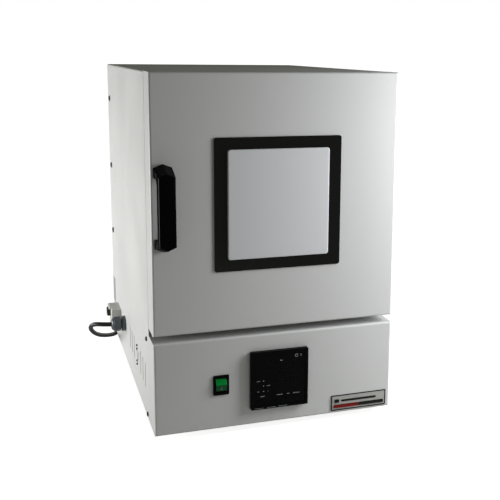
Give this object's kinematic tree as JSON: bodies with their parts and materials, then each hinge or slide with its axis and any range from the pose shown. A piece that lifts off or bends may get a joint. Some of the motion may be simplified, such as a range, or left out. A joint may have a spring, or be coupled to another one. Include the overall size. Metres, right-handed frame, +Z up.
{
  "type": "chamber furnace kiln",
  "caption": "Bench-top electric chamber furnace used as a small pottery kiln, with a side-hinged insulated door, bridge handle, temperature controller and rocker switch.",
  "frame": {"origin": "centre of the footprint of the furnace without its mains lead, on the bench under the rubber feet", "axes": "+Z up, +Y from the door towards the rear panel, +X towards the hinge side"},
  "size_m": [0.4746, 0.7583, 0.572],
  "materials": {
    "casing_paint": "fine textured powder coat, light grey",
    "zinc_plate": "zinc plated",
    "stainless": "brushed, slightly heat tinted",
    "firebrick": "porous insulating firebrick",
    "dense_ceramic": "smooth unglazed",
    "fibre_board": "vacuum formed ceramic fibre board",
    "rope_seal": "braided ceramic rope",
    "element_wire": "oxidised resistance wire",
    "black_enamel": "high gloss",
    "centre_paint": "semi gloss, light grey",
    "black_phenolic": "polished",
    "dark_screws": "blackened steel",
    "bright_steel": "satin",
    "black_plastic": "fine moulded texture",
    "display_window": "glossy tinted face",
    "green_rocker": "translucent green",
    "nameplate_foil": "printed satin foil",
    "rating_foil": "satin foil",
    "gland_plastic": "moulded nylon",
    "grey_plastic": "moulded",
    "black_rubber": "satin",
    "aluminium": "extruded"
  },
  "bodies": {
    "furnace": {"casing_wrap": "casing_paint", "base_tray": "zinc_plate", "rubber_feet": "black_rubber", "rear_panel": "casing_paint", "lower_front_panel": "casing_paint", "panel_brackets": "zinc_plate", "casing_screws": "dark_screws", "chamber_deck": "zinc_plate", "front_fascia": "stainless", "inner_back_plate": "zinc_plate", "fibre_slabs": "fibre_board", "brick_floor": "firebrick", "brick_roof": "firebrick", "brick_rear": "firebrick", "side_bricks": "firebrick", "hearth_plate": "dense_ceramic", "heating_elements": "element_wire", "lead_bushings": "dense_ceramic", "temperature_probe": "dense_ceramic", "vent_tube": "stainless", "magnetic_catch": "bright_steel", "door_sensor": "black_plastic", "hinge_case_leaves": "bright_steel", "hinge_pins": "bright_steel", "hinge_case_screws": "dark_screws", "controller_bezel": "black_plastic", "controller_case": "black_plastic", "controller_window": "display_window", "switch_body": "black_plastic", "nameplate": "nameplate_foil", "rating_plate": "rating_foil", "service_plate": "casing_paint", "gland_body": "gland_plastic", "gland_nut": "gland_plastic", "outlet_box": "grey_plastic", "outlet_blanking_plug": "black_rubber", "heat_sink": "aluminium", "solid_state_relay": "black_plastic", "terminal_strip": "grey_plastic", "mains_lead": "black_rubber", "lead_coil": "black_rubber", "mains_plug": "black_plastic"},
    "door": {"door_skin": "casing_paint", "door_inner_plate": "stainless", "door_filling": "fibre_board", "door_plug": "fibre_board", "door_gasket": "rope_seal", "door_frame_plate": "black_enamel", "door_centre_plate": "centre_paint", "door_handle": "black_phenolic", "handle_screws": "bright_steel", "strike_plate": "stainless", "sensor_magnet": "black_plastic", "hinge_door_leaves": "bright_steel", "hinge_door_screws": "dark_screws"},
    "rocker": {"switch_rocker": "green_rocker"},
    "key_1": {"controller_key_1": "black_plastic"},
    "key_2": {"controller_key_2": "black_plastic"},
    "key_3": {"controller_key_3": "black_plastic"},
    "key_4": {"controller_key_4": "black_plastic"}
  },
  "joints": [
    {"name": "door_hinge", "type": "hinge", "parent": "furnace", "child": "door", "pos_m": [0.212, -0.228, 0.3715], "axis": [0, 0, 1], "range_deg": [0, 120]},
    {"name": "power_rocker", "type": "hinge", "parent": "furnace", "child": "rocker", "pos_m": [-0.086, -0.27, 0.0849], "axis": [1, 0, 0], "range_deg": [0, 18]},
    {"name": "key_press_1", "type": "slide", "parent": "furnace", "child": "key_1", "axis": [0, 1, 0], "range_m": [0, 0.0005], "stiffness_N_per_m": 400, "springref_m": -0.0005},
    {"name": "key_press_2", "type": "slide", "parent": "furnace", "child": "key_2", "axis": [0, 1, 0], "range_m": [0, 0.0005], "stiffness_N_per_m": 400, "springref_m": -0.0005},
    {"name": "key_press_3", "type": "slide", "parent": "furnace", "child": "key_3", "axis": [0, 1, 0], "range_m": [0, 0.0005], "stiffness_N_per_m": 400, "springref_m": -0.0005},
    {"name": "key_press_4", "type": "slide", "parent": "furnace", "child": "key_4", "axis": [0, 1, 0], "range_m": [0, 0.0005], "stiffness_N_per_m": 400, "springref_m": -0.0005}
  ]
}
